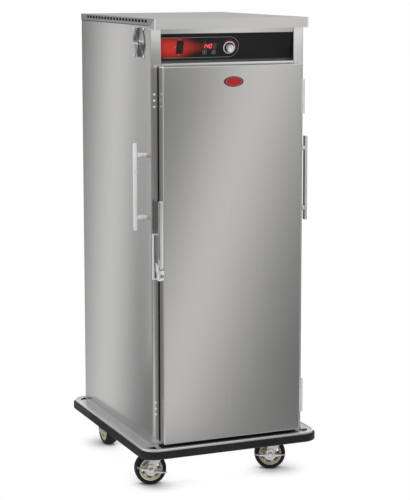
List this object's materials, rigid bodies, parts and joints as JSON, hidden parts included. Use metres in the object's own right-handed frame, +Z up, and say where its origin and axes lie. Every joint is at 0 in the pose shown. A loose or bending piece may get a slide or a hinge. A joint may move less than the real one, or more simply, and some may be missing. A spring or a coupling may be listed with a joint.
{
  "type": "heated holding cabinet",
  "caption": "Tall insulated mobile holding cabinet with a solid hinged door, tray slides, heat module, control panel, side handles, bumper and casters.",
  "frame": {"origin": "on the floor under the middle of the bumper ring", "axes": "+X to the right seen from the front, front towards -Y, +Z up"},
  "size_m": [0.76, 0.918, 1.842],
  "materials": {
    "stainless": "brushed",
    "frame_steel": "satin",
    "zinc": "zinc plated",
    "chrome": "polished",
    "bumper_rubber": "matte",
    "tyre": "matte",
    "hub": "satin",
    "overlay": "satin",
    "black_plastic": "satin",
    "display": "gloss",
    "insulation": "fibrous",
    "gasket": "matte",
    "badge": "gloss",
    "motor": "satin",
    "heater": "dark oxide",
    "knob": "satin"
  },
  "bodies": {
    "cabinet": {"base_frame": "frame_steel", "bumper_channel": "stainless", "bumper_rubber": "bumper_rubber", "front_caster_plates": "zinc", "rear_caster_forks": "zinc", "rear_axles": "zinc", "side_panel_left": "stainless", "side_panel_right": "stainless", "back_panel": "stainless", "roof_cover": "stainless", "front_visor": "stainless", "door_frame": "stainless", "panel_screws": "chrome", "side_handles": "chrome", "cavity_liner": "stainless", "wall_insulation": "insulation", "compartment_deck": "frame_steel", "rack_posts": "stainless", "tray_slides": "stainless", "air_baffle": "stainless", "heater_element": "heater", "blower_motor": "motor", "control_panel": "stainless", "control_overlay": "overlay", "power_switch": "black_plastic", "display_module": "display", "thermostat": "motor", "fan_housing": "black_plastic", "fan_guard": "chrome", "power_inlet": "black_plastic", "hinge_body_leaves": "chrome", "latch_strike": "chrome"},
    "door": {"door_skin": "stainless", "door_liner": "stainless", "door_insulation": "insulation", "door_gasket": "gasket", "door_badge": "badge", "hinge_door_leaves": "chrome", "latch_case": "chrome"},
    "lever": {"latch_lever": "chrome"},
    "rocker": {"power_rocker": "black_plastic"},
    "knob": {"thermostat_knob": "knob"},
    "up_button": {"button_up": "black_plastic"},
    "down_button": {"button_down": "black_plastic"},
    "cooling_fan": {"fan_rotor": "black_plastic"},
    "blower": {"blower_wheel": "frame_steel"},
    "swivel_left": {"front_fork_left": "zinc", "front_axle_left": "zinc"},
    "brake_left": {"brake_pedal_left": "zinc"},
    "wheel_front_left": {"front_hub_left": "hub", "front_tyre_left": "tyre"},
    "wheel_rear_left": {"rear_hub_left": "hub", "rear_tyre_left": "tyre"},
    "swivel_right": {"front_fork_right": "zinc", "front_axle_right": "zinc"},
    "brake_right": {"brake_pedal_right": "zinc"},
    "wheel_front_right": {"front_hub_right": "hub", "front_tyre_right": "tyre"},
    "wheel_rear_right": {"rear_hub_right": "hub", "rear_tyre_right": "tyre"}
  },
  "joints": [
    {"name": "door_swing", "type": "hinge", "parent": "cabinet", "child": "door", "pos_m": [0.3074, -0.426, 0.929], "axis": [0, 0, 1], "range_deg": [0, 175]},
    {"name": "lever_pull", "type": "hinge", "parent": "door", "child": "lever", "pos_m": [-0.3027, -0.438, 0.8953], "axis": [1, 0, 0], "range_deg": [0, 20], "stiffness_Nm_per_rad": 2, "springref_deg": -8.59},
    {"name": "rocker_tilt", "type": "hinge", "parent": "cabinet", "child": "rocker", "pos_m": [-0.1953, -0.37505, 1.73195], "axis": [1, 0, 0], "range_deg": [0, 16]},
    {"name": "knob_turn", "type": "hinge", "parent": "cabinet", "child": "knob", "pos_m": [0.01, -0.38574, 1.72495], "axis": [0, 0.974, 0.2267], "range_deg": [0, 270]},
    {"name": "up_press", "type": "slide", "parent": "cabinet", "child": "up_button", "axis": [0, 0.974, 0.2267], "range_m": [0, 0.0008], "stiffness_N_per_m": 600, "springref_m": -0.0005},
    {"name": "down_press", "type": "slide", "parent": "cabinet", "child": "down_button", "axis": [0, 0.974, 0.2267], "range_m": [0, 0.0008], "stiffness_N_per_m": 600, "springref_m": -0.0005},
    {"name": "fan_spin", "type": "hinge", "parent": "cabinet", "child": "cooling_fan", "pos_m": [-0.31, -0.275, 1.748], "axis": [1, 0, 0], "continuous": true},
    {"name": "blower_spin", "type": "hinge", "parent": "cabinet", "child": "blower", "pos_m": [0, -0.008, 1.62], "axis": [0, 0, 1], "continuous": true},
    {"name": "swivel_turn_left", "type": "hinge", "parent": "cabinet", "child": "swivel_left", "pos_m": [-0.263, -0.317, 0.144], "axis": [0, 0, 1], "continuous": true},
    {"name": "front_roll_left", "type": "hinge", "parent": "swivel_left", "child": "wheel_front_left", "pos_m": [-0.30017, -0.3091, 0.0635], "axis": [0.2079, 0.9781, 0], "continuous": true},
    {"name": "brake_tread_left", "type": "hinge", "parent": "swivel_left", "child": "brake_left", "pos_m": [-0.30745, -0.34334, 0.0635], "axis": [0.2079, 0.9781, 0], "range_deg": [-13, 0]},
    {"name": "rear_roll_left", "type": "hinge", "parent": "cabinet", "child": "wheel_rear_left", "pos_m": [-0.263, 0.2885, 0.0635], "axis": [1, 0, 0], "continuous": true},
    {"name": "swivel_turn_right", "type": "hinge", "parent": "cabinet", "child": "swivel_right", "pos_m": [0.263, -0.317, 0.144], "axis": [0, 0, 1], "continuous": true},
    {"name": "front_roll_right", "type": "hinge", "parent": "swivel_right", "child": "wheel_front_right", "pos_m": [0.22752, -0.30338, 0.0635], "axis": [0.3584, 0.9336, 0], "continuous": true},
    {"name": "brake_tread_right", "type": "hinge", "parent": "swivel_right", "child": "brake_right", "pos_m": [0.21498, -0.33606, 0.0635], "axis": [0.3584, 0.9336, 0], "range_deg": [0, 13]},
    {"name": "rear_roll_right", "type": "hinge", "parent": "cabinet", "child": "wheel_rear_right", "pos_m": [0.263, 0.2885, 0.0635], "axis": [1, 0, 0], "continuous": true}
  ]
}
